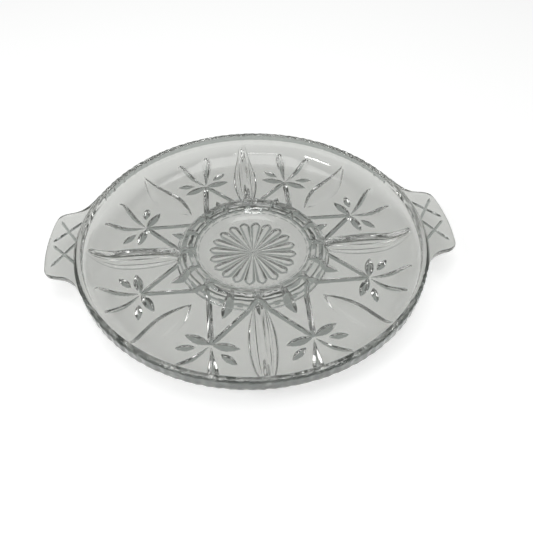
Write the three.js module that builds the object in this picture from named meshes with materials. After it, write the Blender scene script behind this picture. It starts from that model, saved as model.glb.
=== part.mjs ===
// A round pressed-glass chip and dip server: a dip well inside a low ring, four chip compartments
// between four raised dividers, a sloped outer wall with a thick rim, and two tab handles.
//
// The real dish is one pressing. It is described here by its working regions, each a closed solid
// of its own, and neighbours meet on exactly the same faces, so together they fill one body of glass.
// Millimetres, +Z up, origin at the centre of the underside, +X towards the right handle.

import * as THREE from 'three';

// ---- Driving dimensions ----

const RIM_RADIUS = 140;
const RIM_HEIGHT = 28.5;
const FLOOR_THICKNESS = 5;
const WALL_THICKNESS = 4.6;
const WALL_RUN = 26.5;            // width of the hollow curve from a compartment floor to the rim
const RIM_WIDTH = 5.5;            // across the top of the rim
const RIM_BAND_HEIGHT = 8.7;      // the upright outer face of the thick rim
const RIM_EDGE_DROP = 0.8;        // the rim's corners sit this much under its crest

const WELL_FLOOR_RADIUS = 39;
const RING_CREST_RADIUS = 54;     // middle of the flat crest of the ring round the well
const RING_CREST_WIDTH = 5;
const RING_HEIGHT = 11.5;         // crest above the surface that the dish stands on
const RING_OUTER_SLOPE = 7.25;    // width of the ring's outer slope

const QUARTERS = 4;               // one divider and one compartment in each
const DIVIDER_HALF_WIDTH = 11;
const DIVIDER_TIP_HALF_WIDTH = 3;
const DIVIDER_RISE = 9;           // crest of a divider above the compartment floors
const DIVIDER_TIP_DROP = 11;      // a divider fades out this far under the rim's crest
const DIVIDER_ROUNDNESS = 1.5;    // 1 is a parabola across; more softens a divider's feet
const RAMP_SOFTNESS = 0.35;       // the share of the ring's slopes that is a smooth step
const HOLLOW_SHARE = 0.7;         // the underside follows the ring and dividers up this much

const HANDLE_LENGTH = 22.3;       // reach beyond the rim
const HANDLE_HALF_WIDTH = 34;     // at the outer corners
const HANDLE_NECK_GAIN = 4.5;     // how much wider each side is where it meets the rim
const HANDLE_HOLLOW_SHARE = 0.25; // of the handle's length, taken by the hollow curve by the rim
const HANDLE_CORNER = 8;
const HANDLE_THICKNESS = 6;

// ---- How finely the round shapes are divided ----

const DIVIDER_COLUMNS = 6;
const COMPARTMENT_COLUMNS = 12;
const HANDLE_ROOT_COLUMNS = 3;    // compartment columns that a handle takes on each side of a divider
const QUARTER_COLUMNS = DIVIDER_COLUMNS + COMPARTMENT_COLUMNS;
const ALL_COLUMNS = QUARTERS * QUARTER_COLUMNS;
const RING_SLOPE_STEPS = 5;
const RING_FOOT_STEPS = 3;
const COMPARTMENT_STEPS = 7;
const WALL_STEPS = 7;
const HANDLE_CURVE_STEPS = 8;

// How far along the shelf under the rim each station of the rim's inside and crest stands.
const SHELF_AT_INSIDE = 1 / 3;
const SHELF_AT_INNER_CORNER = 2 / 3;
const SHELF_AT_CREST = 5 / 6;

// ---- Places that follow from the driving dimensions ----

const lerp = THREE.MathUtils.lerp;
const crestInnerRadius = RING_CREST_RADIUS - RING_CREST_WIDTH / 2;
const crestOuterRadius = RING_CREST_RADIUS + RING_CREST_WIDTH / 2;
const ringFootRadius = crestOuterRadius + RING_OUTER_SLOPE;

// The food side of the wall is a quarter ellipse, from flat at the floor's edge to upright at the
// rim. It ends at the rim's inner corner, and the rim band hangs from the rim's outer corner.
const floorEdgeRadius = RIM_RADIUS - RIM_WIDTH - WALL_RUN;
const rimCornerHeight = RIM_HEIGHT - RIM_EDGE_DROP;
const wallRise = rimCornerHeight - FLOOR_THICKNESS;
const bandFootHeight = rimCornerHeight - RIM_BAND_HEIGHT;
const rimFootTurn = Math.acos((rimCornerHeight - bandFootHeight) / wallRise);

// ---- The section through the dish ----
//
// A station joins one point of the smooth upper face to one point of the under face. upper and lower
// are { r, z }; lean is the upper face's tilt there, step is how far the upper face already stands
// above the compartment floor, and ridge is the share of a divider's rise that is left there.

function floorStation(radius, rise = 0, ridge = 0) {
  return {
    upper: { r: radius, z: FLOOR_THICKNESS + rise },
    lower: { r: radius, z: HOLLOW_SHARE * rise },
    lean: 0,
    step: rise,
    ridge,
  };
}

// turn is the ellipse's parameter, 0 at the floor's edge and a quarter turn at the rim. The under
// face lies one thickness away, square to the upper face.
function wallStation(turn) {
  const upper = {
    r: floorEdgeRadius + WALL_RUN * Math.sin(turn),
    z: FLOOR_THICKNESS + wallRise * (1 - Math.cos(turn)),
  };
  const lean = Math.atan2(wallRise * Math.sin(turn), WALL_RUN * Math.cos(turn));
  const thickness = lerp(FLOOR_THICKNESS, WALL_THICKNESS, Math.sin(turn));
  const lower = {
    r: upper.r + thickness * Math.sin(lean),
    z: upper.z - thickness * Math.cos(lean),
  };
  return { upper, lower, lean, step: 0, ridge: ridgeAtHeight(upper.z) };
}

function ridgeAtHeight(height) {
  const tipHeight = RIM_HEIGHT - DIVIDER_TIP_DROP;
  const share = (tipHeight - height) / (tipHeight - FLOOR_THICKNESS);
  return Math.sqrt(THREE.MathUtils.clamp(share, 0, 1));
}

// A straight climb from 0 to 1 with softened ends.
function ramp(share) {
  return lerp(share, THREE.MathUtils.smoothstep(share, 0, 1), RAMP_SOFTNESS);
}

function steps(count, makeStation) {
  return Array.from({ length: count + 1 }, (_, i) => makeStation(i / count));
}

const ringRise = RING_HEIGHT - FLOOR_THICKNESS;
const wellFloorSection = [floorStation(0), floorStation(WELL_FLOOR_RADIUS)];

const ringSection = [
  ...steps(RING_SLOPE_STEPS, (share) => floorStation(
    lerp(WELL_FLOOR_RADIUS, crestInnerRadius, share),
    ringRise * ramp(share),
  )),
  ...steps(RING_FOOT_STEPS, (share) => floorStation(
    lerp(crestOuterRadius, ringFootRadius, share),
    ringRise * (1 - ramp(share)),
    share,
  )),
];

const compartmentSection = steps(COMPARTMENT_STEPS, (share) => floorStation(
  lerp(ringFootRadius, floorEdgeRadius, share), 0, 1,
));

// The first wall station is the same place as the last compartment station.
const wallSection = steps(WALL_STEPS, (share) => wallStation(rimFootTurn * share));

// Above the wall the under face runs out over a short shelf to the foot of the rim band, and the
// upper face goes on up to the inner corner, over the crest and down to the outer corner.
const shelfStart = wallSection.at(-1).lower;

function rimStation(share, upper) {
  const lower = {
    r: lerp(shelfStart.r, RIM_RADIUS, share),
    z: lerp(shelfStart.z, bandFootHeight, share),
  };
  return { upper, lower, lean: 0, step: 0, ridge: 0 };
}

const rimSection = [
  wallSection.at(-1),
  rimStation(SHELF_AT_INSIDE, wallStation(lerp(rimFootTurn, Math.PI / 2, 1 / 2)).upper),
  rimStation(SHELF_AT_INNER_CORNER, wallStation(Math.PI / 2).upper),
  rimStation(SHELF_AT_CREST, { r: RIM_RADIUS - RIM_WIDTH / 2, z: RIM_HEIGHT }),
  rimStation(1, { r: RIM_RADIUS, z: rimCornerHeight }),
];
const dividerTipRadius = wallSection.at(-1).upper.r;

// ---- Columns round the dish ----
//
// Columns run outwards, and bend with the dividers' leaf-shaped outlines, so that every region
// starts and stops on a column. Column 0 is the first side of the divider on +X.

function dividerEdgeAngle(radius) {
  const within = THREE.MathUtils.clamp(radius, crestOuterRadius, dividerTipRadius);
  const share = (within - crestOuterRadius) / (dividerTipRadius - crestOuterRadius);
  const swell = Math.sin(Math.PI * share);
  const halfWidth = lerp(DIVIDER_TIP_HALF_WIDTH, DIVIDER_HALF_WIDTH, swell);
  return Math.asin(halfWidth / within);
}

function columnAngle(column, radius) {
  const quarter = Math.floor(column / QUARTER_COLUMNS);
  const local = column - quarter * QUARTER_COLUMNS;
  const quarterTurn = 2 * Math.PI / QUARTERS;
  const edge = dividerEdgeAngle(radius);
  if (local <= DIVIDER_COLUMNS) {
    return quarter * quarterTurn + lerp(-edge, edge, local / DIVIDER_COLUMNS);
  }
  const share = (local - DIVIDER_COLUMNS) / COMPARTMENT_COLUMNS;
  return quarter * quarterTurn + lerp(edge, quarterTurn - edge, share);
}

function dividerRise(column, station) {
  const local = ((column % QUARTER_COLUMNS) + QUARTER_COLUMNS) % QUARTER_COLUMNS;
  if (local >= DIVIDER_COLUMNS) return 0;
  const across = 2 * local / DIVIDER_COLUMNS - 1;
  const ridge = station.ridge * (1 - across * across) ** DIVIDER_ROUNDNESS;
  return Math.max(0, DIVIDER_RISE * ridge - station.step);
}

function facePoint(station, column, face) {
  const angle = columnAngle(column, station.upper.r);
  const { r, z } = station[face];
  const rise = dividerRise(column, station) * (face === 'upper' ? 1 : HOLLOW_SHARE);
  const radius = r - rise * Math.sin(station.lean);
  const height = z + rise * Math.cos(station.lean);
  return new THREE.Vector3(radius * Math.cos(angle), radius * Math.sin(angle), height);
}

// ---- Closed solids ----

// Collects corners, giving the same place the same number, and leaves out triangles with no area,
// such as those at the centre of the dish.
class ClosedSolid {
  constructor() {
    this.numbers = new Map();
    this.positions = [];
    this.triangles = [];
  }

  number(point) {
    const key = point.toArray().map((value) => value.toFixed(4)).join(' ');
    if (!this.numbers.has(key)) {
      this.numbers.set(key, this.positions.length / 3);
      this.positions.push(point.x, point.y, point.z);
    }
    return this.numbers.get(key);
  }

  triangle(a, b, c) {
    const corners = [a, b, c].map((point) => this.number(point));
    if (new Set(corners).size === 3) this.triangles.push(...corners);
  }

  // The split always runs from a to c, so that two solids split a shared face alike.
  quad(a, b, c, d, turned = false) {
    if (turned) {
      this.triangle(a, c, b);
      this.triangle(a, d, c);
    } else {
      this.triangle(a, b, c);
      this.triangle(a, c, d);
    }
  }

  geometry() {
    const geometry = new THREE.BufferGeometry();
    geometry.setAttribute('position', new THREE.Float32BufferAttribute(this.positions, 3));
    geometry.setIndex(this.triangles);
    geometry.computeVertexNormals();
    return geometry;
  }
}

// The glass between two columns over a run of stations, with its upper face, its under face and the
// upright faces where it meets its neighbours. A whole turn has no side faces.
function region(section, firstColumn, lastColumn) {
  const solid = new ClosedSolid();
  const wholeTurn = lastColumn - firstColumn === ALL_COLUMNS;
  const point = (row, column, face) => {
    const wrapped = wholeTurn && column === lastColumn ? firstColumn : column;
    return facePoint(section[row], wrapped, face);
  };
  const lastRow = section.length - 1;
  for (let column = firstColumn; column < lastColumn; column += 1) {
    for (let row = 0; row < lastRow; row += 1) {
      for (const face of ['upper', 'lower']) {
        solid.quad(
          point(row, column, face),
          point(row + 1, column, face),
          point(row + 1, column + 1, face),
          point(row, column + 1, face),
          face === 'lower',
        );
      }
    }
    for (const row of [0, lastRow]) {
      solid.quad(
        point(row, column, 'lower'),
        point(row, column + 1, 'lower'),
        point(row, column + 1, 'upper'),
        point(row, column, 'upper'),
        row === 0,
      );
    }
  }
  if (!wholeTurn) {
    for (const column of [firstColumn, lastColumn]) {
      for (let row = 0; row < lastRow; row += 1) {
        solid.quad(
          point(row, column, 'lower'),
          point(row + 1, column, 'lower'),
          point(row + 1, column, 'upper'),
          point(row, column, 'upper'),
          column === lastColumn,
        );
      }
    }
  }
  return solid.geometry();
}

// A tab handle on +X: its root follows the rim's own columns, then a hollow curve leads into a
// straight tapering side, a rounded corner and an outer edge that is an arc about the dish's centre.
function handleGeometry() {
  const reach = RIM_RADIUS + HANDLE_LENGTH;
  const firstColumn = -HANDLE_ROOT_COLUMNS;
  const lastColumn = DIVIDER_COLUMNS + HANDLE_ROOT_COLUMNS;
  const rootEdge = rimSection.at(-1);
  const root = [];
  for (let column = lastColumn; column >= firstColumn; column -= 1) {
    root.push(facePoint(rootEdge, column, 'lower'));
  }
  const start = root.at(-1);
  const startTurn = Math.atan2(start.y, start.x);
  const neck = { x: RIM_RADIUS, y: HANDLE_HALF_WIDTH + HANDLE_NECK_GAIN };
  const corner = { x: Math.sqrt(reach ** 2 - HANDLE_HALF_WIDTH ** 2), y: HANDLE_HALF_WIDTH };
  const sideLength = Math.hypot(corner.x - neck.x, neck.y - corner.y);
  const side = { x: (corner.x - neck.x) / sideLength, y: (corner.y - neck.y) / sideLength };
  const hollow = HANDLE_LENGTH * HANDLE_HOLLOW_SHARE;
  const hollowEnd = { x: neck.x + side.x * hollow, y: neck.y + side.y * hollow };
  // The hollow leaves the rim along its tangent and arrives along the straight side.
  const tangent = { x: -Math.sin(startTurn), y: Math.cos(startTurn) };
  const across = { x: hollowEnd.x - start.x, y: -hollowEnd.y - start.y };
  const bend = (across.x * -side.y - across.y * side.x) / (tangent.x * -side.y - tangent.y * side.x);
  const pull = { x: start.x + tangent.x * bend, y: start.y + tangent.y * bend };
  const cornerStart = { x: corner.x - side.x * HANDLE_CORNER, y: corner.y - side.y * HANDLE_CORNER };
  const arcEndAngle = Math.asin((HANDLE_HALF_WIDTH - HANDLE_CORNER) / reach);

  const halfOutline = new THREE.Path();
  halfOutline.moveTo(start.x, start.y);
  halfOutline.quadraticCurveTo(pull.x, pull.y, hollowEnd.x, -hollowEnd.y);
  halfOutline.lineTo(cornerStart.x, -cornerStart.y);
  halfOutline.quadraticCurveTo(
    corner.x, -corner.y,
    reach * Math.cos(arcEndAngle), -reach * Math.sin(arcEndAngle),
  );
  halfOutline.absarc(0, 0, reach, -arcEndAngle, 0, false);
  const lowerHalf = halfOutline.getPoints(HANDLE_CURVE_STEPS).slice(1);
  const upperHalf = lowerHalf.slice(0, -1).reverse().map((p) => new THREE.Vector2(p.x, -p.y));
  const rootPoints = root.map((p) => new THREE.Vector2(p.x, p.y));
  const outline = new THREE.Shape([...rootPoints, ...lowerHalf, ...upperHalf]);
  const geometry = new THREE.ExtrudeGeometry(outline, {
    depth: HANDLE_THICKNESS,
    bevelEnabled: false,
  });
  geometry.translate(0, 0, rimCornerHeight - HANDLE_THICKNESS);
  return geometry;
}

// ---- The named regions ----

const dish = new THREE.Group();

function addGlass(name, geometry, turn = 0) {
  const glass = new THREE.MeshStandardMaterial({
    color: 0xe3e9e4,
    roughness: 0.04,
    metalness: 0,
    transparent: true,
    opacity: 0.35,
  });
  const mesh = new THREE.Mesh(geometry, glass);
  mesh.name = name;
  mesh.rotation.z = turn;
  dish.add(mesh);
}

addGlass('well_floor', region(wellFloorSection, 0, ALL_COLUMNS));
addGlass('well_ring', region(ringSection, 0, ALL_COLUMNS));

const dividerNames = ['right', 'back', 'left', 'front'];
const compartmentNames = ['back_right', 'back_left', 'front_left', 'front_right'];
for (let quarter = 0; quarter < QUARTERS; quarter += 1) {
  const first = quarter * QUARTER_COLUMNS;
  const edge = first + DIVIDER_COLUMNS;
  const next = first + QUARTER_COLUMNS;
  addGlass(`divider_${dividerNames[quarter]}`, region(compartmentSection, first, edge));
  addGlass(`compartment_floor_${compartmentNames[quarter]}`, region(compartmentSection, edge, next));
}

addGlass('outer_wall', region(wallSection, 0, ALL_COLUMNS));
addGlass('rim', region(rimSection, 0, ALL_COLUMNS));
addGlass('handle_right', handleGeometry());
addGlass('handle_left', handleGeometry(), Math.PI);

export default dish;
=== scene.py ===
"""A pressed-glass chip and dip server on a plain pale floor.

The dish is one body of clear glass in fourteen regions, one for each CAD node. All regions are cut
from the same two surfaces: a smooth upper one, and an under one that carries the pressed pattern.
Neighbouring regions share the same corners, so the glass is seamless where they meet. Lengths are
millimetres until a mesh is made.
"""

import bpy
import numpy as np
from mathutils import Matrix, Vector


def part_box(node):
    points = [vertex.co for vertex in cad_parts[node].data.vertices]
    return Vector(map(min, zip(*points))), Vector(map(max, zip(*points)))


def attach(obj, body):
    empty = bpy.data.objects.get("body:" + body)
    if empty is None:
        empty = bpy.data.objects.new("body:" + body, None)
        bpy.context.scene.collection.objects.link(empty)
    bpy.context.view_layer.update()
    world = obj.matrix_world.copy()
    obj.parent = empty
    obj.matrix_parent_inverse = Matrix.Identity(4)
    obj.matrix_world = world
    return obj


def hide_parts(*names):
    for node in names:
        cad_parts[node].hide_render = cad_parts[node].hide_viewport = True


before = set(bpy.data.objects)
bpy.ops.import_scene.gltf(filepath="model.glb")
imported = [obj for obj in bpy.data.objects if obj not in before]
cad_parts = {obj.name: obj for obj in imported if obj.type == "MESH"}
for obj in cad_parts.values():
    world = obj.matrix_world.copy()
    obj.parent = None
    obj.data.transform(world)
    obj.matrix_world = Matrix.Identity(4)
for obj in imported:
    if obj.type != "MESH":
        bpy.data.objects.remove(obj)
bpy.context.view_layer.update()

METRE = 0.001                 # one millimetre in metres
TINY = 1e-6                   # keeps a division away from zero

# ---- Sizes of the dish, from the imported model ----


def far_corner(node):
    """The highest corner of a CAD node's box, in millimetres."""
    return np.array(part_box(node)[1]) / METRE


def near_corner(node):
    """The lowest corner of a CAD node's box, in millimetres."""
    return np.array(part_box(node)[0]) / METRE


RIM_RADIUS, _, RIM_HEIGHT = far_corner("rim")
WELL_FLOOR_RADIUS, _, FLOOR_THICKNESS = far_corner("well_floor")
RING_FOOT_RADIUS, _, RING_HEIGHT = far_corner("well_ring")
FLOOR_EDGE_RADIUS = far_corner("divider_right")[0]
DIVIDER_RISE = far_corner("divider_right")[2] - FLOOR_THICKNESS
BAND_FOOT_HEIGHT = far_corner("outer_wall")[2]
HANDLE_REACH, _, HANDLE_TOP = far_corner("handle_right")
HANDLE_UNDERSIDE = near_corner("handle_right")[2]

# ---- Sizes of the shapes between those ----

RING_CREST_INNER = 51.5
RING_CREST_OUTER = 56.5
RAMP_SOFTNESS = 0.35          # the share of the ring's slopes that is a smooth step
RIM_WIDTH = 5.5
RIM_EDGE_DROP = 0.8           # the rim's corners sit this much under its crest
WALL_THICKNESS = 4.6          # at the rim; the floor's thickness at the floor's edge
DIVIDER_HALF_WIDTH = 11.0
DIVIDER_TIP_HALF_WIDTH = 3.0
DIVIDER_TIP_DROP = 11.0       # a divider fades out this far under the rim's crest
DIVIDER_ROUNDNESS = 1.5       # 1 is a parabola across; more softens a divider's feet
SOFTENING = 0.5               # radius-like softness where a divider meets the ring

WALL_RUN = RIM_RADIUS - RIM_WIDTH - FLOOR_EDGE_RADIUS
RIM_CORNER_HEIGHT = RIM_HEIGHT - RIM_EDGE_DROP
WALL_RISE = RIM_CORNER_HEIGHT - FLOOR_THICKNESS
RIM_FOOT_TURN = np.arccos((RIM_CORNER_HEIGHT - BAND_FOOT_HEIGHT) / WALL_RISE)

# ---- How finely the surfaces are divided; the upper surface takes every second row and column ----

QUARTERS = 4
DIVIDER_COLUMNS = 36
COMPARTMENT_COLUMNS = 264
QUARTER_COLUMNS = DIVIDER_COLUMNS + COMPARTMENT_COLUMNS
ALL_COLUMNS = QUARTERS * QUARTER_COLUMNS
HANDLE_ROOT_COLUMNS = 66      # compartment columns that a handle takes on each side of a divider
WELL_ROWS = 48
RING_SLOPE_ROWS = 24
RING_CREST_ROWS = 6
RING_FOOT_ROWS = 12
COMPARTMENT_ROWS = 84
WALL_ROWS = 54


# ---- The upper surface ----


def smoothstep(value, start, end):
    """0 before start, 1 after end, and between them 3s^2 - 2s^3 of the share s."""
    share = np.clip((value - start) / (end - start), 0.0, 1.0)
    return share * share * (3.0 - 2.0 * share)


def ramp(value, start, end):
    """A straight climb from 0 to 1 with softened ends: part of it is a smooth step."""
    straight = np.clip((value - start) / (end - start), 0.0, 1.0)
    return straight + RAMP_SOFTNESS * (smoothstep(value, start, end) - straight)


def section_rows():
    """Radius, height, lean and glass thickness of the plain upper surface at each row outwards from
    the well floor's edge: flat to the floor's edge, then a quarter ellipse up to the rim's foot."""
    floor_radii = np.concatenate([
        np.linspace(WELL_FLOOR_RADIUS, RING_CREST_INNER, RING_SLOPE_ROWS + 1)[:-1],
        np.linspace(RING_CREST_INNER, RING_CREST_OUTER, RING_CREST_ROWS + 1)[:-1],
        np.linspace(RING_CREST_OUTER, RING_FOOT_RADIUS, RING_FOOT_ROWS + 1)[:-1],
        np.linspace(RING_FOOT_RADIUS, FLOOR_EDGE_RADIUS, COMPARTMENT_ROWS + 1)[:-1],
    ])
    turns = np.linspace(0.0, RIM_FOOT_TURN, WALL_ROWS + 1)
    wall_radii = FLOOR_EDGE_RADIUS + WALL_RUN * np.sin(turns)
    wall_heights = FLOOR_THICKNESS + WALL_RISE * (1.0 - np.cos(turns))
    wall_leans = np.arctan2(WALL_RISE * np.sin(turns), WALL_RUN * np.cos(turns))
    flat = np.zeros_like(floor_radii)
    radius = np.concatenate([floor_radii, wall_radii])
    height = np.concatenate([flat + FLOOR_THICKNESS, wall_heights])
    lean = np.concatenate([flat, wall_leans])
    thinning = np.concatenate([flat, np.sin(turns)])
    thickness = FLOOR_THICKNESS + (WALL_THICKNESS - FLOOR_THICKNESS) * thinning
    return radius, height, lean, thickness


def divider_edge_angle(radius):
    """Half the angle that a divider takes at a radius: its half-width swells as half a sine wave
    from its tip by the ring to its tip on the wall."""
    tip_radius = FLOOR_EDGE_RADIUS + WALL_RUN * np.sin(RIM_FOOT_TURN)
    within = np.clip(radius, RING_CREST_OUTER, tip_radius)
    swell = np.sin(np.pi * (within - RING_CREST_OUTER) / (tip_radius - RING_CREST_OUTER))
    half_width = DIVIDER_TIP_HALF_WIDTH + (DIVIDER_HALF_WIDTH - DIVIDER_TIP_HALF_WIDTH) * swell
    return np.arcsin(half_width / within)


def column_angles(radius):
    """The angle of every column at each radius. Columns bend with the dividers' outlines: they are
    spread evenly over each divider, and evenly over each compartment."""
    column = np.arange(ALL_COLUMNS + 1)
    quarter, local = np.divmod(column, QUARTER_COLUMNS)
    over_divider = np.clip(local / DIVIDER_COLUMNS, 0.0, 1.0)
    over_compartment = np.clip((local - DIVIDER_COLUMNS) / COMPARTMENT_COLUMNS, 0.0, 1.0)
    edge = divider_edge_angle(radius)[:, None]
    quarter_turn = 2.0 * np.pi / QUARTERS
    return (quarter * quarter_turn - edge + 2.0 * edge * over_divider
            + (quarter_turn - 2.0 * edge) * over_compartment)


def ring_rise(radius):
    """How far the ring stands above the floor: a ramp up, a flat crest and a ramp down."""
    up = ramp(radius, WELL_FLOOR_RADIUS, RING_CREST_INNER)
    down = ramp(radius, RING_CREST_OUTER, RING_FOOT_RADIUS)
    return (RING_HEIGHT - FLOOR_THICKNESS) * (up - down)


def ridge_share(radius, height):
    """The share of a divider's rise that is left: it grows over the ring's outer slope, and falls
    as a square root towards its tip on the wall."""
    tip_height = RIM_HEIGHT - DIVIDER_TIP_DROP
    fading = np.clip((tip_height - height) / (tip_height - FLOOR_THICKNESS), 0.0, 1.0)
    growing = np.clip((radius - RING_CREST_OUTER) / (RING_FOOT_RADIUS - RING_CREST_OUTER), 0.0, 1.0)
    return growing * np.sqrt(fading)


def divider_across():
    """Where every column stands across its divider: -1 and 1 at its edges, and 1 between them."""
    local = np.arange(ALL_COLUMNS + 1) % QUARTER_COLUMNS
    return np.clip(2.0 * local / DIVIDER_COLUMNS - 1.0, -1.0, 1.0)


def soft_max(a, b):
    """The larger of two heights, with the corner between them rounded off."""
    return 0.5 * (a + b + np.sqrt((a - b) ** 2 + SOFTENING ** 2) - SOFTENING)


def raised(radius, height):
    """How far the ring and the dividers stand above the plain section at each row and column. A
    divider is a softened parabola across its width."""
    crown = (1.0 - divider_across() ** 2) ** DIVIDER_ROUNDNESS
    ridge = crown * ridge_share(radius, height)[:, None]
    ring = ring_rise(radius)[:, None]
    return np.where(ridge > 0.0, soft_max(DIVIDER_RISE * ridge, ring), ring)


def upper_surface():
    """Ring, dividers, floors and wall from above: the section turned round the middle, and raised
    square to itself."""
    radius, height, lean, _ = section_rows()
    angle = column_angles(radius)
    rise = raised(radius, height)
    reach = radius[:, None] - rise * np.sin(lean)[:, None]
    top = height[:, None] + rise * np.cos(lean)[:, None]
    return np.stack([reach * np.cos(angle), reach * np.sin(angle), top], axis=-1)


# ---- The pressed pattern: each function gives the depth of its cuts ----

BAR_TAPER = 7.0               # a bar-shaped cut is at full width a seventh of its length in
BAR_BLUNTNESS = 0.05          # share of its length that the blunt start has already covered

STAR_RADIUS = 98.0            # eight stars, in the middle of each half compartment
STARS = 8
SPEAR_TIP = (31.3, 14.4)      # in a star's own frame: x outwards, y to the side
SPEAR_HALF_WIDTH = 6.2
WEDGE_SHARE = 0.9             # how deep a spear's wedge is, beside a cut as wide
KEEL_HALF_WIDTH = 1.9
SIDE_LEAF = ((5.2, 9.3), (10.6, 24.2))
SIDE_LEAF_HALF_WIDTH = 3.2
PETAL_TIP = (-2.9, 22.0)
PETAL_HALF_WIDTH = 3.8
RAY_TIP = (-57.5, 24.6)       # rays of two stars cross under the ring
RAY_HALF_WIDTH = 2.4
RING_LEAF = ((-50.0, 0.0), (-24.0, 0.0))
RING_LEAF_HALF_WIDTH = 4.6
BEVEL_SLOPE = 0.95            # how steeply a cut goes in from its edge
BEVEL_WIDTH = 3.2             # how far that slope goes on
FACET_SLOPE = 0.3             # the slope further in
SHADED_CUT_DEPTH = 0.1           # stars' and lattice's cuts deeper than this get the painted shade
SHADED_SLOPE = 0.4           # and so do the sunburst's sides that are steeper than this

SCOOP_START, SCOOP_END = 72.5, 134.0  # a scoop's inner and outer ends, from the dish's middle
SCOOP_HALF_WIDTH = 11.0
SCOOP_DEPTH = 3.0
SCOOP_SQUARENESS = 4          # power of the distance from the middle line at which the depth falls
SCOOP_TIP_GAIN = 0.35         # share of its depth per millimetre of half-width, at a scoop's tips

HOLLOW_SHARE = 0.7            # the underside follows the ring and dividers up this much
FLUTES = 6                    # lengthwise flutes under a divider
FLUTE_DEPTH = 1.3
FLUTED_SHARE = 0.85           # of a divider's width
DIVIDER_EDGE_SHARE = 0.84     # outside this share of its width a divider gets the painted shade

RING_CUT_START = 46.0         # radius from which the ring is cut, out to its foot
RING_CUT_FADE = 2.0           # the cuts grow and fade out over this distance
RING_CUT_SPACING = 3.1
RING_SPOKES = 26
RING_CUT_DEPTH = 1.7
SHADED_RING_DEPTH = 0.3      # the ring's cuts deeper than this get the painted shade

SUNBURST_PETALS = 20
SUNBURST_RADIUS = 36.3
SUNBURST_FLUTE_SHARE = 0.93   # of the room that each petal has
SUNBURST_SLOPES = (0.2, 0.65)  # of a flute's sides, at its middle and at its edge


def leaf_outline(share):
    """Pointed at both ends and widest in the middle, as a parabola."""
    return 4.0 * share * (1.0 - share)


def spear_outline(share):
    """Pointed at the start, a straight wedge, and blunt at the end: s times the root of 1 - s^6."""
    return share * np.sqrt(1.0 - share ** 6)


def bar_outline(share):
    """Even for most of its length, with pointed ends."""
    return np.minimum(1.0, BAR_TAPER * np.minimum(share + BAR_BLUNTNESS, 1.0 - share))


def bevelled(left):
    """The depth of a cut whose edge is left away: a steep narrow bevel, then a broad facet."""
    left = np.maximum(left, 0.0)
    return (BEVEL_SLOPE * np.minimum(left, BEVEL_WIDTH)
            + FACET_SLOPE * np.maximum(left - BEVEL_WIDTH, 0.0))


def v_cut(x, y, start, end, half_width, outline):
    """A bevelled V-cut between two points, as wide as its outline lets it be at each place."""
    span_x, span_y = end[0] - start[0], end[1] - start[1]
    length = np.hypot(span_x, span_y)
    along = ((x - start[0]) * span_x + (y - start[1]) * span_y) / length ** 2
    across = np.abs((y - start[1]) * span_x - (x - start[0]) * span_y) / length
    inside = (along >= 0.0) & (along <= 1.0)
    width = half_width * outline(np.clip(along, 0.0, 1.0))
    return np.where(inside, bevelled(width - across), 0.0)


def folded(angle, count, turned=0.0):
    """The angle from the nearest of count evenly spaced axes, always positive."""
    step = 2.0 * np.pi / count
    return np.abs((angle - turned + step / 2.0) % step - step / 2.0)


def star_cuts(radius, angle):
    """Eight stars: the keels of two spears up the wall, two side leaves, two petals, two inward
    rays and a leaf from the ring each."""
    step = 2.0 * np.pi / STARS
    near = folded(angle, STARS, step / 2.0)
    x, y = radius * np.cos(near) - STAR_RADIUS, radius * np.sin(near)
    far_x, far_y = radius * np.cos(step - near) - STAR_RADIUS, radius * np.sin(step - near)
    centre = (0.0, 0.0)
    return np.max([
        v_cut(x, y, centre, SPEAR_TIP, KEEL_HALF_WIDTH, leaf_outline),
        v_cut(x, y, *SIDE_LEAF, SIDE_LEAF_HALF_WIDTH, leaf_outline),
        v_cut(x, y, centre, PETAL_TIP, PETAL_HALF_WIDTH, leaf_outline),
        v_cut(x, y, centre, RAY_TIP, RAY_HALF_WIDTH, bar_outline),
        v_cut(far_x, far_y, centre, RAY_TIP, RAY_HALF_WIDTH, bar_outline),
        v_cut(x, y, *RING_LEAF, RING_LEAF_HALF_WIDTH, leaf_outline),
    ], axis=0)


def spear_cuts(radius, angle):
    """The broad, shallow wedges beside the keels of the stars' spears."""
    near = folded(angle, STARS, np.pi / STARS)
    x, y = radius * np.cos(near) - STAR_RADIUS, radius * np.sin(near)
    wedge = v_cut(x, y, (0.0, 0.0), SPEAR_TIP, SPEAR_HALF_WIDTH, spear_outline)
    return WEDGE_SHARE * wedge


def scoop_cuts(radius, angle):
    """Four broad leaves between the dividers: nearly flat inside, with steep edges, because the
    depth falls as a high power of the distance from the middle line."""
    side = folded(angle, QUARTERS, np.pi / QUARTERS)
    share = np.clip((radius * np.cos(side) - SCOOP_START) / (SCOOP_END - SCOOP_START), 0.0, 1.0)
    width = np.maximum(SCOOP_HALF_WIDTH * leaf_outline(share), TINY)
    across = np.clip(radius * np.sin(side) / width, 0.0, 1.0)
    shallow = np.minimum(1.0, SCOOP_TIP_GAIN * width)
    return SCOOP_DEPTH * shallow * (1.0 - across ** SCOOP_SQUARENESS)


def flute_cuts(radius, height):
    """V-shaped flutes along the underside of each divider, which bend with its outline."""
    waves = np.abs((divider_across() * FLUTES / 2.0) % 1.0 - 0.5) * 2.0
    inside = np.abs(divider_across()) < FLUTED_SHARE
    return FLUTE_DEPTH * waves * inside * ridge_share(radius, height)[:, None]


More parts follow.
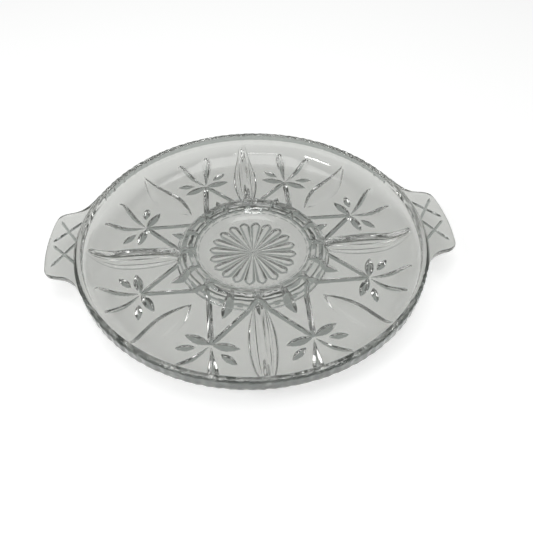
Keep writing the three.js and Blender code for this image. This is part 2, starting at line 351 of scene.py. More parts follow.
def ring_cuts(radius, angle):
    """Fine V-shaped rings under the crest of the well's ring, half as deep on each spoke as
    midway between two spokes."""
    window = (smoothstep(radius, RING_CUT_START, RING_CUT_START + RING_CUT_FADE)
              - smoothstep(radius, RING_FOOT_RADIUS - RING_CUT_FADE, RING_FOOT_RADIUS))
    rings = np.abs(radius / RING_CUT_SPACING % 1.0 - 0.5) * 2.0
    spokes = folded(angle, RING_SPOKES) * RING_SPOKES / np.pi
    return RING_CUT_DEPTH * window * rings * (0.5 + 0.5 * spokes)


def sunburst_cuts(radius, angle):
    """Twenty round-ended, bevelled flutes from the middle, each as wide as its share of the turn
    allows."""
    half_step = np.pi / SUNBURST_PETALS
    side = folded(angle, SUNBURST_PETALS, half_step)
    across = radius * np.sin(side)
    spread = SUNBURST_FLUTE_SHARE * np.tan(half_step)
    cap = SUNBURST_RADIUS * spread / (1.0 + spread)
    past = np.clip(radius - (SUNBURST_RADIUS - cap), 0.0, cap)
    width = np.minimum(radius * spread, np.sqrt(cap ** 2 - past ** 2))
    width = np.where(radius < SUNBURST_RADIUS, width, 0.0)
    share = np.clip(across / np.maximum(width, TINY), 0.0, 1.0)
    inner, outer = SUNBURST_SLOPES
    return width * (inner * (1.0 - share) + 0.5 * (outer - inner) * (1.0 - share ** 2))


def pattern_depth(radius, angle):
    """The deepest of all the cuts at each place."""
    return np.max([
        star_cuts(radius, angle),
        spear_cuts(radius, angle),
        scoop_cuts(radius, angle),
        ring_cuts(radius, angle),
        sunburst_cuts(radius, angle),
    ], axis=0)


def steepness(depth, radius, angle):
    """How steeply the pattern's depth changes at each place."""
    outwards = np.gradient(depth, axis=0) / np.gradient(radius)[:, None]
    step = np.maximum(radius[:, None] * np.gradient(angle, axis=1), TINY)
    sideways = np.gradient(depth, axis=1) / step
    return np.hypot(outwards, sideways)


def under_surface():
    """The underside: one glass thickness from the plain upper surface, square to it, less the depth
    of the pattern. Also whether each place gets the painted shade of the cuts."""
    radius, height, lean, thickness = section_rows()
    angle = column_angles(radius)
    middle_radius = (radius + 0.5 * thickness * np.sin(lean))[:, None]
    depth = pattern_depth(middle_radius, angle)
    divided = (np.abs(divider_across()) < 1.0) & (radius > RING_FOOT_RADIUS)[:, None]
    # deep cuts get painted shade: a darker tint standing in for the shadows and dark inner
    # reflections under them
    shade_mask = star_cuts(middle_radius, angle) > SHADED_CUT_DEPTH
    shade_mask |= ring_cuts(middle_radius, angle) > SHADED_RING_DEPTH
    # a divider's edges get painted shade
    divider_edge_shade = np.abs(divider_across()) > DIVIDER_EDGE_SHARE
    shade_mask = np.where(divided, divider_edge_shade, shade_mask)
    depth = np.where(divided, flute_cuts(radius, height), depth)
    depth = depth + HOLLOW_SHARE * raised(radius, height)
    glass = thickness[:, None] - depth
    reach = radius[:, None] + glass * np.sin(lean)[:, None]
    bottom = height[:, None] - glass * np.cos(lean)[:, None]
    return np.stack([reach * np.cos(angle), reach * np.sin(angle), bottom], axis=-1), shade_mask


# ---- The rim ----

RIM_CORNER_RADIUS = 1.1
SHELF_SHARE = 0.75            # of the shelf under the rim that is straight
SCALLOPS = 60
SCALLOP_NOTCH = 0.6           # depth of the notch between two scallops
SCALLOP_NOTCH_SHARE = 0.25    # half-width of that notch, as a share of a scallop
MIDDLE_NOTCH = 0.3            # depth of the smaller notch in the middle of each scallop
NOTCH_INSET = 0.4             # a notch has its full depth up to this far inside the rim's edge
NOTCH_TOP_DROP = 0.45         # share of a notch's depth by which it lowers the rim's outer corner
NOTCH_TOP_REACH = 3.0         # the corner starts to drop this far under it
EDGE_WIDTH, EDGE_DROP = 1.8, 7.0  # the rim's outer corner gets painted shade this far, partly for the deeper green of thick glass
HANDLE_BLEND = 5.0            # distance over which the rim's corner softens beside a handle

# How many points the rim's outline has in each stretch.
CORNER_POINTS = 6
SHELF_POINTS = 6
BAND_FOOT_POINTS = 4
BAND_POINTS = 8
CREST_POINTS = 11
INSIDE_POINTS = 12


def rounded_corner(before, corner, after, count):
    """Points round a corner, along a parabola from before to after that pulls towards it."""
    share = np.linspace(0.0, 1.0, count)[:, None]
    before, corner, after = np.array(before), np.array(corner), np.array(after)
    return (1.0 - share) ** 2 * before + 2.0 * share * (1.0 - share) * corner + share ** 2 * after


def crest_height(radius, flat_to_handle):
    """The rim's crest: a parabola down to both corners, or, beside a handle, half a cosine wave on
    the outer side, so that it runs level into the handle."""
    middle = RIM_RADIUS - RIM_WIDTH / 2.0
    share = (radius - middle) / (RIM_WIDTH / 2.0)
    round_drop = RIM_EDGE_DROP * share ** 2
    level_drop = RIM_EDGE_DROP * 0.5 * (1.0 - np.cos(np.pi * share))
    return RIM_HEIGHT - np.where((share > 0.0) & flat_to_handle, level_drop, round_drop)


def rim_section(lower_start, upper_end, beside_handle):
    """The rim's outline from the wall's underside, out along the shelf, up the band, over the crest
    and down the inside to the wall's upper surface. Every version has the same number of points."""
    corner = RIM_CORNER_RADIUS
    shelf_foot = np.array([RIM_RADIUS, BAND_FOOT_HEIGHT])
    shares = np.linspace(0.0, SHELF_SHARE, SHELF_POINTS)[:, None]
    shelf = np.array(lower_start) + shares * (shelf_foot - lower_start)
    band_start = (RIM_RADIUS, BAND_FOOT_HEIGHT + corner)
    foot = rounded_corner(shelf[-1], shelf_foot, band_start, CORNER_POINTS)
    band_heights = np.concatenate([
        np.linspace(BAND_FOOT_HEIGHT + corner, HANDLE_UNDERSIDE, BAND_FOOT_POINTS)[1:],
        np.linspace(HANDLE_UNDERSIDE, RIM_CORNER_HEIGHT - corner, BAND_POINTS)[1:],
    ])
    band = np.stack([np.full_like(band_heights, RIM_RADIUS), band_heights], axis=-1)
    if beside_handle:
        heights = np.linspace(band_heights[-1], RIM_CORNER_HEIGHT, CORNER_POINTS)
        outer = np.stack([np.full_like(heights, RIM_RADIUS), heights], axis=-1)
        crest_start = RIM_RADIUS
    else:
        crest_start = RIM_RADIUS - corner
        crest_end = (crest_start, crest_height(crest_start, False))
        outer_corner = (RIM_RADIUS, RIM_CORNER_HEIGHT)
        outer = rounded_corner(band[-1], outer_corner, crest_end, CORNER_POINTS)
    crest_radii = np.linspace(crest_start, RIM_RADIUS - RIM_WIDTH + corner, CREST_POINTS)
    crest = np.stack([crest_radii, crest_height(crest_radii, beside_handle)], axis=-1)
    turns = np.linspace(np.pi / 2.0, RIM_FOOT_TURN, INSIDE_POINTS)[2:]
    inside = np.stack([
        FLOOR_EDGE_RADIUS + WALL_RUN * np.sin(turns),
        FLOOR_THICKNESS + WALL_RISE * (1.0 - np.cos(turns)),
    ], axis=-1)
    inside[-1] = upper_end
    inner_corner = (RIM_RADIUS - RIM_WIDTH, RIM_CORNER_HEIGHT)
    inner = rounded_corner(crest[-1], inner_corner, inside[0], CORNER_POINTS)
    parts = [shelf, foot[1:], band, outer[1:], crest[1:], inner[1:], inside[1:]]
    return np.concatenate(parts)


def scallop_notches(angle):
    """How far the band is cut in: a V between scallops, and a smaller one in each one's middle."""
    share = angle * SCALLOPS / (2.0 * np.pi) % 1.0
    between = np.minimum(share, 1.0 - share)
    middle = np.abs(share - 0.5)
    return np.maximum(
        SCALLOP_NOTCH * np.maximum(0.0, 1.0 - between / SCALLOP_NOTCH_SHARE),
        MIDDLE_NOTCH * np.maximum(0.0, 1.0 - middle / SCALLOP_NOTCH_SHARE),
    )


def handle_root_angle():
    """Half the angle that a handle takes on the rim."""
    column = DIVIDER_COLUMNS + HANDLE_ROOT_COLUMNS
    return column_angles(np.array([RIM_RADIUS]))[0, column]


def rim_surface(lower_start, upper_end):
    """The rim all round: the section turned about the middle, with its notches, which fade out
    towards the handles, where the rim's corner runs level into them."""
    angle = column_angles(np.array([RIM_RADIUS]))[0]
    from_handle = RIM_RADIUS * (folded(angle, 2) - handle_root_angle())
    joined = 1.0 - smoothstep(from_handle, 0.0, HANDLE_BLEND)
    free = rim_section(lower_start, upper_end, False)
    level = rim_section(lower_start, upper_end, True)
    section = free[:, None] + joined[None, :, None] * (level - free)[:, None]
    radius, height = section[..., 0], section[..., 1]
    outside = smoothstep(radius, RIM_RADIUS - RIM_WIDTH / 2.0, RIM_RADIUS - NOTCH_INSET)
    notch = scallop_notches(angle)[None] * outside * (1.0 - joined)[None]
    near_top = smoothstep(height, RIM_CORNER_HEIGHT - NOTCH_TOP_REACH, RIM_CORNER_HEIGHT)
    radius = radius - notch
    height = height - NOTCH_TOP_DROP * notch * near_top
    surface = np.stack([radius * np.cos(angle), radius * np.sin(angle), height], axis=-1)
    # The last row lies on the straight edges of the wall's coarser upper surface.
    surface[-1, 1::2] = 0.5 * (surface[-1, 0:-1:2] + surface[-1, 2::2])
    return surface, joined


# ---- The handles ----

HANDLE_HALF_WIDTH = 34.0
HANDLE_NECK_GAIN = 4.5        # how much wider the handle is at the rim than at its end
HANDLE_NECK_LENGTH = (HANDLE_REACH - RIM_RADIUS) / 4.0
HANDLE_CORNER = 8.0
HANDLE_EDGE_RADIUS = 2.4
HANDLE_TAPER = 1.6            # the underside rises this much towards the outer edge
ROOT_SQUARENESS = 30.0        # added power of the sides' superellipse where the handle starts
ROOT_SHARE = 0.3              # share of the handle's length over which its sides turn round
HANDLE_COLUMNS = 168
HANDLE_ROWS = 60
HANDLE_SIDE_POINTS = 40
HANDLE_TURN_POINTS = 60
LATTICE_HALF_WIDTH = 1.6
LATTICE_LINES = (((157.5, 1.6), (132.0, 28.5)), ((155.0, 25.6), (136.0, -4.5)))


def quadratic(start, pull, end, share):
    """A parabola from start to end that leaves and arrives along the lines through pull."""
    share = share[:, None]
    return (1.0 - share) ** 2 * start + 2.0 * share * (1.0 - share) * pull + share ** 2 * end


def handle_side_and_end():
    """Half a handle's outline on the +X side: the side from the rim, a hollow curve and a straight
    run, and the end, a rounded corner and an arc about the dish's centre to the middle."""
    root = handle_root_angle()
    start = RIM_RADIUS * np.array([np.cos(root), np.sin(root)])
    neck = np.array([RIM_RADIUS, HANDLE_HALF_WIDTH + HANDLE_NECK_GAIN])
    corner = np.array([np.sqrt(HANDLE_REACH ** 2 - HANDLE_HALF_WIDTH ** 2), HANDLE_HALF_WIDTH])
    along = (corner - neck) / np.hypot(*(corner - neck))
    hollow_end = neck + along * HANDLE_NECK_LENGTH
    tangent = np.array([np.sin(root), -np.cos(root)])
    gap = hollow_end - start
    crossing = tangent[0] * along[1] - tangent[1] * along[0]
    bend = (gap[0] * along[1] - gap[1] * along[0]) / crossing
    corner_start = corner - along * HANDLE_CORNER
    arc_angle = np.arcsin((HANDLE_HALF_WIDTH - HANDLE_CORNER) / HANDLE_REACH)
    arc_start = HANDLE_REACH * np.array([np.cos(arc_angle), np.sin(arc_angle)])
    side_shares = np.linspace(0.0, 1.0, HANDLE_SIDE_POINTS)
    hollow = quadratic(start, start + tangent * bend, hollow_end, side_shares)
    straight = hollow_end + side_shares[:, None] * (corner_start - hollow_end)
    turn = quadratic(corner_start, corner, arc_start, np.linspace(0.0, 1.0, HANDLE_TURN_POINTS))
    arc = np.linspace(arc_angle, 0.0, HANDLE_TURN_POINTS)[:, None]
    end = HANDLE_REACH * np.concatenate([np.cos(arc), np.sin(arc)], axis=1)
    mid_turn = HANDLE_TURN_POINTS // 2
    side = np.concatenate([hollow, straight[1:], turn[1:mid_turn + 1]])
    return side, np.concatenate([turn[mid_turn:], end[1:]])


def evenly_along(points, shares):
    """The places at the given shares of a line's length."""
    steps = np.hypot(*np.diff(points, axis=0).T)
    walked = np.concatenate([[0.0], np.cumsum(steps)])
    return np.stack([np.interp(shares * walked[-1], walked, axis) for axis in points.T], axis=-1)


def lattice_cuts(x, y):
    """Two crosses side by side: each line is a V-cut, and each is mirrored about the handle's
    middle."""
    y = np.abs(y)
    lines = [v_cut(x, y, *line, LATTICE_HALF_WIDTH, bar_outline) for line in LATTICE_LINES]
    start, end = LATTICE_LINES[1]
    lines.append(v_cut(x, -y, start, end, LATTICE_HALF_WIDTH, bar_outline))
    return np.max(lines, axis=0)


def handle_surfaces():
    """The upper and under surfaces of the handle on +X, as one patch stretched between its root,
    its outer edge and its two sides. Both close on a rounded nose, whose height is a superellipse
    of the distance from the edge, and square where the handle leaves the rim. Also whether each
    place is in a cut of the lattice."""
    side, end = handle_side_and_end()
    s = np.sin(np.linspace(-np.pi / 2.0, np.pi / 2.0, HANDLE_COLUMNS + 1))
    v = np.sin(np.linspace(0.0, np.pi / 2.0, HANDLE_ROWS + 1))
    root_angle = handle_root_angle() * s
    root = RIM_RADIUS * np.stack([np.cos(root_angle), np.sin(root_angle)], axis=-1)
    right = evenly_along(side, v)
    left = right * np.array([1.0, -1.0])
    whole_end = np.concatenate([end * np.array([1.0, -1.0]), end[-2::-1]])
    outer = evenly_along(whole_end, (s + 1.0) / 2.0)
    u = ((s + 1.0) / 2.0)[None, :, None]
    w = v[:, None, None]
    between_sides = (1.0 - u) * left[:, None] + u * right[:, None]
    between_ends = (1.0 - w) * root[None] + w * outer[None]
    corners = ((1.0 - w) * ((1.0 - u) * root[0] + u * root[-1])
               + w * ((1.0 - u) * outer[0] + u * outer[-1]))
    plan = between_sides + between_ends - corners
    half_width = 0.5 * np.hypot(*(right - left).T)[:, None]
    from_side = half_width * (1.0 - np.abs(s))[None]
    from_end = (HANDLE_REACH - RIM_RADIUS) * (1.0 - v)[:, None]
    power = 2.0 + ROOT_SQUARENESS * (1.0 - smoothstep(v, 0.0, ROOT_SHARE))[:, None]
    side_left = 1.0 - np.clip(from_side / HANDLE_EDGE_RADIUS, 0.0, 1.0)
    end_left = 1.0 - np.clip(from_end / HANDLE_EDGE_RADIUS, 0.0, 1.0)
    side_nose = (1.0 - side_left ** power) ** (1.0 / power)
    end_nose = np.sqrt(1.0 - end_left ** 2)
    nose = side_nose * end_nose
    under = HANDLE_UNDERSIDE + HANDLE_TAPER * smoothstep(v, 0.0, 1.0)[:, None]
    middle = 0.5 * (HANDLE_TOP + under)
    cut = lattice_cuts(plan[..., 0], plan[..., 1]) * nose
    top = middle + (HANDLE_TOP - middle) * nose - cut
    bottom = middle - (middle - under) * nose
    # the lattice's cuts get the painted shade
    return np.dstack([plan, top]), np.dstack([plan, bottom]), cut > SHADED_CUT_DEPTH


# ---- From surfaces to closed pieces ----

GLASS, JOIN, PAINTED_SHADE = 0, 1, 2    # a piece's material slots; the last one is the cuts' painted shade
WELD_DISTANCE = 1e-4
SAME_PLACE = 1e-6             # how near to a surface still counts as on it
NO_AREA = 1e-12               # a normal shorter than this is left as it is
NO_NORMAL = 1e-9              # and where a piece's joined one is shorter than this, it points up


def surface_normals(surface, round_dish, flip):
    """The surface's own tilt at each corner, from its neighbours on both sides, so that pieces cut
    from one surface shade as one."""
    down = np.gradient(surface, axis=0)
    if round_dish:
        ring = surface[:, :-1]
        along = (np.roll(ring, -1, axis=1) - np.roll(ring, 1, axis=1)) / 2.0
        along = np.concatenate([along, along[:, :1]], axis=1)
    else:
        along = np.gradient(surface, axis=1)
    normal = np.cross(down, along)
    length = np.linalg.norm(normal, axis=-1, keepdims=True)
    normal = normal / np.maximum(length, NO_AREA)
    return -normal if flip else normal


class Shell:
    """Collects patches of corners and triangles, each triangle with its material slot."""

    def __init__(self):
        self.corners, self.normals, self.triangles, self.slots = [], [], [], []
        self.count = 0

    def add(self, corners, normals, triangles, slots):
        """Adds corners with their normals, and triangles with one slot for all or one for each."""
        self.corners.append(corners.reshape(-1, 3))
        self.normals.append(normals.reshape(-1, 3))
        self.triangles.append(triangles + self.count)
        self.slots.append(np.broadcast_to(slots, len(triangles)))
        self.count += len(self.corners[-1])

    def patch(self, surface, normals, flip, slots=GLASS):
        """A grid of quads, each split in two. slots may give one slot for each quad."""
        rows, columns = surface.shape[:2]
        index = np.arange(rows * columns).reshape(rows, columns)
        a, b = index[:-1, :-1], index[1:, :-1]
        c, d = index[1:, 1:], index[:-1, 1:]
        triangles = np.stack([np.stack([a, b, c], -1), np.stack([a, c, d], -1)], axis=2)
        triangles = triangles.reshape(-1, 3)
        quad_slots = np.broadcast_to(slots, a.shape).reshape(-1)
        self.add(surface, normals, triangles[:, ::-1] if flip else triangles,
                 np.repeat(quad_slots, 2))

    def join(self, coarse, fine, flip):
        """The face where this piece meets a neighbour: a strip between a border of the upper
        surface and one of the under surface, which has twice as many steps."""
        near = np.arange(len(coarse) - 1)
        far = near + 1
        first = len(coarse) + 2 * near
        triangles = np.concatenate([
            np.stack([near, first, first + 1], -1),
            np.stack([near, first + 1, far], -1),
            np.stack([far, first + 1, first + 2], -1),
        ])
        corners = np.concatenate([coarse, fine])
        triangles = triangles[:, ::-1] if flip else triangles
        self.add(corners, np.zeros_like(corners), triangles, JOIN)

    def piece(self, name, node):
        """Welds corners in the same place, drops triangles with no area and makes the mesh, which
        takes the place of its CAD node."""
        corners = np.concatenate(self.corners)
        normals = np.concatenate(self.normals)
        triangles = np.concatenate(self.triangles)
        slots = np.concatenate(self.slots)
        places = np.round(corners / WELD_DISTANCE).astype(np.int64)
        _, first, same = np.unique(places, axis=0, return_index=True, return_inverse=True)
        same = same.reshape(-1)
        joined_normals = np.zeros((len(first), 3))
        np.add.at(joined_normals, same, normals)
        triangles = same[triangles]
        a, b, c = triangles.T
        real = (a != b) & (b != c) & (c != a)
        triangles, slots = triangles[real], slots[real]
        length = np.linalg.norm(joined_normals, axis=1, keepdims=True)
        scaled = joined_normals / np.maximum(length, NO_NORMAL)
        joined_normals = np.where(length > NO_NORMAL, scaled, (0, 0, 1))
        return make_piece(name, node, corners[first] * METRE, joined_normals, triangles, slots)


def make_piece(name, node, corners, normals, triangles, slots):
    """Puts the arrays into a mesh with its three materials, and gives it the node's place."""
    mesh = bpy.data.meshes.new(name)
    mesh.vertices.add(len(corners))
    mesh.vertices.foreach_set("co", corners.astype(np.float32).ravel())
    mesh.loops.add(triangles.size)
    mesh.loops.foreach_set("vertex_index", triangles.astype(np.int32).ravel())
    mesh.polygons.add(len(triangles))
    mesh.polygons.foreach_set("loop_start", np.arange(0, triangles.size, 3, dtype=np.int32))
    for material in (PRESSED_GLASS, GLASS_JOIN, PAINTED_SHADE_GLASS):
        mesh.materials.append(material)
    mesh.polygons.foreach_set("material_index", slots.astype(np.int32))
    mesh.polygons.foreach_set("use_smooth", np.ones(len(triangles), bool))
    mesh.update(calc_edges=True)
    mesh.validate()
    mesh.normals_split_custom_set_from_vertices(normals.astype(np.float32))
    piece = bpy.data.objects.new(name, mesh)
    bpy.context.scene.collection.objects.link(piece)
    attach(piece, "root")
    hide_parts(node)
    return piece


# ---- Materials ----

SKIN_WAVE = 14.0              # length of the faint waves left by fire polishing
SKIN_HEIGHT = 0.12
GLASS_INDEX = 1.52            # how strongly soda-lime glass bends light
# partly painted shade: the glass's own grey-green, made darker to stand in for the dish's shadow on
# the card seen through it
POLISHED_TINT = "#D1D2CF"
# painted shade: a much darker tint for the cuts, standing in for the shadows and dark inner
# reflections under them
PAINTED_CUT_SHADE_TINT = "#7C827E"
CUT_ROUGHNESS = 0.05
CARD_COLOUR = "#E8E8E8"
CARD_ROUGHNESS = 0.9
CARD_GLOW = 0.6               # stands in for the even light that a studio sends on to the card
STUDIO_GREY = "#5A5C5A"
WHITE = "#FFFFFF"


def linear(hex_colour):
    """An sRGB hex colour as linear red, green and blue, and full alpha."""
    parts = np.array([int(hex_colour[i:i + 2], 16) for i in (1, 3, 5)]) / 255.0
    parts = np.where(parts <= 0.04045, parts / 12.92, ((parts + 0.055) / 1.055) ** 2.4)
    return (*parts.tolist(), 1.0)


def add_node(tree, kind, settings=None, inputs=None, links=()):
    """Adds a node, sets its properties and sockets, and links (input, node, output) to it."""
    node = tree.nodes.new(kind)
    for key, value in (settings or {}).items():
        setattr(node, key, value)
    for key, value in (inputs or {}).items():
        node.inputs[key].default_value = value
    for key, source, output in links:
        tree.links.new(source.outputs[output], node.inputs[key])
    return node


def new_material(name):
    """An empty node material and its output node."""
    material = bpy.data.materials.new(name)
    material.use_nodes = True
    material.node_tree.nodes.clear()
    output = add_node(material.node_tree, "ShaderNodeOutputMaterial")
    return material, material.node_tree, output


def pressed_soda_lime_glass(name, tint, roughness):
    """Soda-lime glass, pressed between a patterned mould and a smooth plunger and then fire
    polished: sharp refraction, a grey-green tint and a skin with long, very low waves. The plain
    glass's tint is darker than its own, as painted shade for the dish's shadow on the card seen
    through it. The cuts' copy has a much darker tint, painted shade for the shadows and dark
    inner reflections under the cuts, and is slightly rough."""
    material, tree, output = new_material(name)
    glass = add_node(tree, "ShaderNodeBsdfPrincipled", inputs={
        "Base Color": linear(tint),
        "Roughness": roughness,
        "IOR": GLASS_INDEX,
        "Transmission Weight": 1.0,
    })
    place = add_node(tree, "ShaderNodeTexCoord")
    waves = add_node(tree, "ShaderNodeTexNoise", inputs={
        "Scale": 1.0 / (SKIN_WAVE * METRE),
        "Detail": 1.0,
    }, links=[("Vector", place, "Object")])
    skin = add_node(tree, "ShaderNodeBump", inputs={
        "Strength": 1.0,
        "Distance": SKIN_HEIGHT * METRE,
    }, links=[("Height", waves, "Fac")])
    tree.links.new(skin.outputs["Normal"], glass.inputs["Normal"])
    tree.links.new(glass.outputs["BSDF"], output.inputs["Surface"])
    return material


def glass_join():
    """The face where two regions of the same glass meet. The real dish has no surface there, so it
    lets everything straight through."""
    material, tree, output = new_material("glass_join")
    nothing = add_node(tree, "ShaderNodeBsdfPrincipled", inputs={
        "Base Color": linear(WHITE),
        "Alpha": 0.0,
    })
    tree.links.new(nothing.outputs["BSDF"], output.inputs["Surface"])
    return material


def matt_white_card():
    """White card, lit evenly from all round: bright enough to read as plain white beside the
    glass."""
    material, tree, output = new_material("matt_white_card")
    card = add_node(tree, "ShaderNodeBsdfPrincipled", inputs={
        "Base Color": linear(CARD_COLOUR),
        "Roughness": CARD_ROUGHNESS,
        "Emission Color": linear(WHITE),
        "Emission Strength": CARD_GLOW,
    })
    tree.links.new(card.outputs["BSDF"], output.inputs["Surface"])
    return material


PRESSED_GLASS = pressed_soda_lime_glass("pressed_soda_lime_glass", POLISHED_TINT, 0.0)
# the cuts' copy of the glass carries the painted shade
PAINTED_SHADE_GLASS = pressed_soda_lime_glass("pressed_soda_lime_glass_painted_shade", PAINTED_CUT_SHADE_TINT, CUT_ROUGHNESS)
GLASS_JOIN = glass_join()

# ---- Making the pieces ----


def painted_shade_slots(shade_mask):
    """The material slot of every quad: the painted-shade one where all its corners are in the
    painted shade.
    """
    quads = shade_mask[:-1, :-1] & shade_mask[1:, :-1] & shade_mask[1:, 1:] & shade_mask[:-1, 1:]
    return np.where(quads, PAINTED_SHADE, GLASS)


def half(surface):
    """Every second row and column."""
    return surface[::2, ::2]


def add_region(name, rows, columns, upper, under):
    """One region of the dish between two rows and two columns, as a closed piece."""
    shell = Shell()
    top, top_normals = (half(part[rows, columns]) for part in upper)
    bottom, bottom_normals, shade_mask = (part[rows, columns] for part in under)
    shell.patch(top, top_normals, flip=False)
    shell.patch(bottom, bottom_normals, flip=True, slots=painted_shade_slots(shade_mask))
    shell.join(top[0], bottom[0], flip=True)
    shell.join(top[-1], bottom[-1], flip=False)
    if columns != slice(None):
        shell.join(top[:, 0], bottom[:, 0], flip=False)
        shell.join(top[:, -1], bottom[:, -1], flip=True)
    shell.piece(f"{name}_glass", name)


def add_well_floor():
    """The middle of the dish: a flat upper face over the sunburst, on half as many columns as the
    ring has."""
    radius = np.linspace(0.0, WELL_FLOOR_RADIUS, WELL_ROWS + 1)
    angle = column_angles(radius)[:, ::2]
    plan = radius[:, None, None] * np.stack([np.cos(angle), np.sin(angle)], axis=-1)
    top = np.dstack([plan, np.full(angle.shape, FLOOR_THICKNESS)])
    depth = sunburst_cuts(radius[:, None] + 0.0 * angle, angle)
    bottom = np.dstack([plan, depth])
    # the steep sides of the sunburst's flutes get the painted shade
    shade_mask = steepness(depth, radius, angle) > SHADED_SLOPE
    up = np.zeros_like(top) + np.array([0.0, 0.0, 1.0])
    shell = Shell()
    shell.patch(half(top), half(up), flip=False)
    shell.patch(bottom, surface_normals(bottom, True, True), flip=True, slots=painted_shade_slots(shade_mask))
    shell.join(half(top)[-1], bottom[-1], flip=False)
    shell.piece("well_floor_glass", "well_floor")


def add_rim(lower_start, upper_end):
    """The rim, closed by the face where it meets the wall. The quads behind a handle's root are
    joins too."""
    surface, joined = rim_surface(lower_start, upper_end)
    normals = surface_normals(surface, True, True)
    height = surface[..., 2]
    radius = np.hypot(surface[..., 0], surface[..., 1])
    outer = radius > RIM_RADIUS - SAME_PLACE
    above = height > HANDLE_UNDERSIDE - SAME_PLACE
    root = outer & above & (joined > 1.0 - SAME_PLACE)[None]
    quads = root[:-1, :-1] & root[1:, :-1] & root[1:, 1:] & root[:-1, 1:]
    shell = Shell()
    # painted shade on the rim's outer corner, partly standing for the deeper green of the thick
    # glass there
    edge = (radius > RIM_RADIUS - EDGE_WIDTH) & (height > RIM_CORNER_HEIGHT - EDGE_DROP)
    slots = painted_shade_slots(edge & (joined < 0.5)[None])
    shell.patch(surface, normals, flip=True, slots=np.where(quads, JOIN, slots))
    wall_face = np.stack([surface[0], surface[-1]])
    shell.patch(wall_face, np.zeros_like(wall_face), flip=True, slots=JOIN)
    shell.piece("rim_glass", "rim")


def add_handle(node, side):
    """A handle: both surfaces, and its root face. side is 1 on +X, and -1 turns it half round."""
    top, bottom, lattice = handle_surfaces()
    top, bottom = (part * np.array([side, side, 1.0]) for part in (top, bottom))
    shell = Shell()
    shell.patch(top, surface_normals(top, False, False), flip=False, slots=painted_shade_slots(lattice))
    shell.patch(bottom, surface_normals(bottom, False, True), flip=True)
    root_face = np.stack([bottom[0], top[0]])
    shell.patch(root_face, np.zeros_like(root_face), flip=False, slots=JOIN)
    shell.piece(f"{node}_glass", node)


def add_dish():
    """All fourteen regions."""
    upper = upper_surface()
    under, shade_mask = under_surface()
    for surface in (upper, under):
        # The ring's first row lies on the straight edges of the well floor's coarser border.
        step = 4 if surface is upper else 2
        for part in range(1, step):
            share = part / step
            surface[0, part::step] = ((1.0 - share) * surface[0, 0:-1:step]
                                      + share * surface[0, step::step])
    upper = (upper, surface_normals(upper, True, False))
    under = (under, surface_normals(under, True, True), shade_mask)
    ring_rows = RING_SLOPE_ROWS + RING_CREST_ROWS + RING_FOOT_ROWS
    floor_rows = slice(ring_rows, ring_rows + COMPARTMENT_ROWS + 1)
    whole_turn = slice(None)
    add_well_floor()
    add_region("well_ring", slice(0, ring_rows + 1), whole_turn, upper, under)
    divider_names = ("right", "back", "left", "front")
    floor_names = ("back_right", "back_left", "front_left", "front_right")
    for quarter, (divider, floor) in enumerate(zip(divider_names, floor_names)):
        first = quarter * QUARTER_COLUMNS
        edge = first + DIVIDER_COLUMNS
        after = first + QUARTER_COLUMNS
        add_region(f"divider_{divider}", floor_rows, slice(first, edge + 1), upper, under)
        add_region(f"compartment_floor_{floor}", floor_rows, slice(edge, after + 1), upper, under)
    add_region("outer_wall", slice(floor_rows.stop - 1, None), whole_turn, upper, under)
    lower_start = np.array([np.hypot(*under[0][-1, 0, :2]), under[0][-1, 0, 2]])
    upper_end = np.array([np.hypot(*upper[0][-1, 0, :2]), upper[0][-1, 0, 2]])
    add_rim(lower_start, upper_end)
    add_handle("handle_right", 1.0)
    add_handle("handle_left", -1.0)


# ---- Floor, light and camera ----

FLOOR_GAP = 0.2               # keeps the floor from touching the glass
FLOOR_HALF_SIZE = 3000.0
SOFT_LIGHTS = (               # name, azimuth, elevation, distance and size in metres, and watts
    ("key_light", -8.0, 62.0, 1.3, (0.5, 0.04), 0.7),
    ("window_light", -60.0, 47.0, 1.3, (0.32, 0.08), 2.2),
    ("overhead_light", 0.0, 90.0, 1.5, (1.1, 1.1), 9.1),
)
CAMERA_AZIMUTH = -5.567       # degrees from straight in front, positive to the right
CAMERA_ELEVATION = 47.173
CAMERA_ROLL = 0.083
CAMERA_DISTANCE = 445.5
CAMERA_TARGET = (10.6, -9.8, -5.6)
CAMERA_LENS = 35.73
CAMERA_NEAREST = 10.0         # nothing nearer than this is drawn
MANY_BOUNCES, GLOSSY_BOUNCES = 32, 24


def add_floor():
    """A flat square of card just under the dish."""
    size = FLOOR_HALF_SIZE * METRE
    below = -FLOOR_GAP * METRE
    mesh = bpy.data.meshes.new("floor")
    square = ((-size, -size), (size, -size), (size, size), (-size, size))
    corners = [(x, y, below) for x, y in square]
    mesh.from_pydata(corners, [], [(0, 1, 2, 3)])
    mesh.materials.append(matt_white_card())
    floor = bpy.data.objects.new("floor", mesh)
    bpy.context.scene.collection.objects.link(floor)


def direction(azimuth, elevation):
    """The unit vector towards a place at these degrees round from the front and up."""
    turn, rise = np.radians(azimuth), np.radians(elevation)
    return Vector((np.sin(turn) * np.cos(rise), -np.cos(turn) * np.cos(rise), np.sin(rise)))


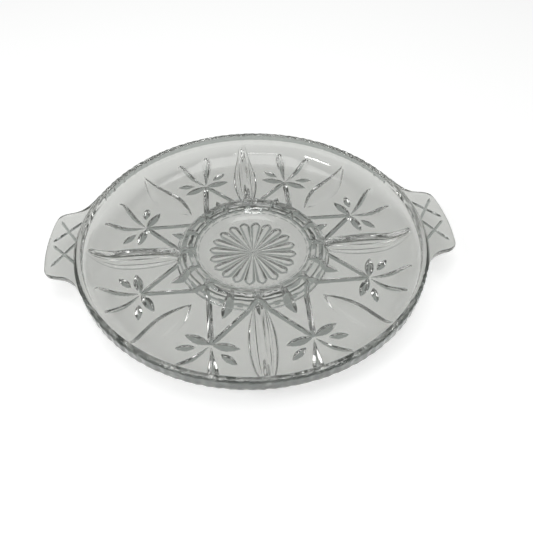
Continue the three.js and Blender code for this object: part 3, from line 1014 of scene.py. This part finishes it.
def add_soft_light(name, azimuth, elevation, distance, size, watts):
    """A rectangular soft light that faces the dish."""
    lamp = bpy.data.lights.new(name, "AREA")
    lamp.shape = "RECTANGLE"
    lamp.size, lamp.size_y = size
    lamp.energy = watts
    light = bpy.data.objects.new(name, lamp)
    towards = direction(azimuth, elevation)
    light.location = towards * distance
    light.rotation_euler = towards.to_track_quat("Z", "Y").to_euler()
    bpy.context.scene.collection.objects.link(light)


def add_camera():
    """The camera, from its direction, distance, roll and the place that it looks at."""
    back = direction(CAMERA_AZIMUTH, CAMERA_ELEVATION)
    level = Vector((np.cos(np.radians(CAMERA_AZIMUTH)), np.sin(np.radians(CAMERA_AZIMUTH)), 0.0))
    upright = back.cross(level)
    roll = np.radians(CAMERA_ROLL)
    right = level * np.cos(roll) + upright * np.sin(roll)
    up = upright * np.cos(roll) - level * np.sin(roll)
    place = Vector(CAMERA_TARGET) * METRE + back * CAMERA_DISTANCE * METRE
    lens = bpy.data.cameras.new("camera")
    lens.lens = CAMERA_LENS
    lens.clip_start = CAMERA_NEAREST * METRE
    camera = bpy.data.objects.new("camera", lens)
    camera.matrix_world = Matrix((
        (right.x, up.x, back.x, place.x),
        (right.y, up.y, back.y, place.y),
        (right.z, up.z, back.z, place.z),
        (0.0, 0.0, 0.0, 1.0),
    ))
    bpy.context.scene.collection.objects.link(camera)
    bpy.context.scene.camera = camera


def add_world():
    """A plain grey studio all round."""
    world = bpy.data.worlds.new("studio")
    world.use_nodes = True
    background = world.node_tree.nodes["Background"]
    background.inputs["Color"].default_value = linear(STUDIO_GREY)
    background.inputs["Strength"].default_value = 1.0
    bpy.context.scene.world = world


def let_light_through_thick_glass():
    """Enough bounces for a path that is reflected many times inside the glass."""
    paths = bpy.context.scene.cycles
    paths.max_bounces = MANY_BOUNCES
    paths.glossy_bounces = GLOSSY_BOUNCES
    paths.transmission_bounces = MANY_BOUNCES
    paths.transparent_max_bounces = MANY_BOUNCES


add_dish()
add_floor()
for soft_light in SOFT_LIGHTS:
    add_soft_light(*soft_light)
add_camera()
add_world()
bpy.context.scene.view_settings.view_transform = "Standard"
let_light_through_thick_glass()
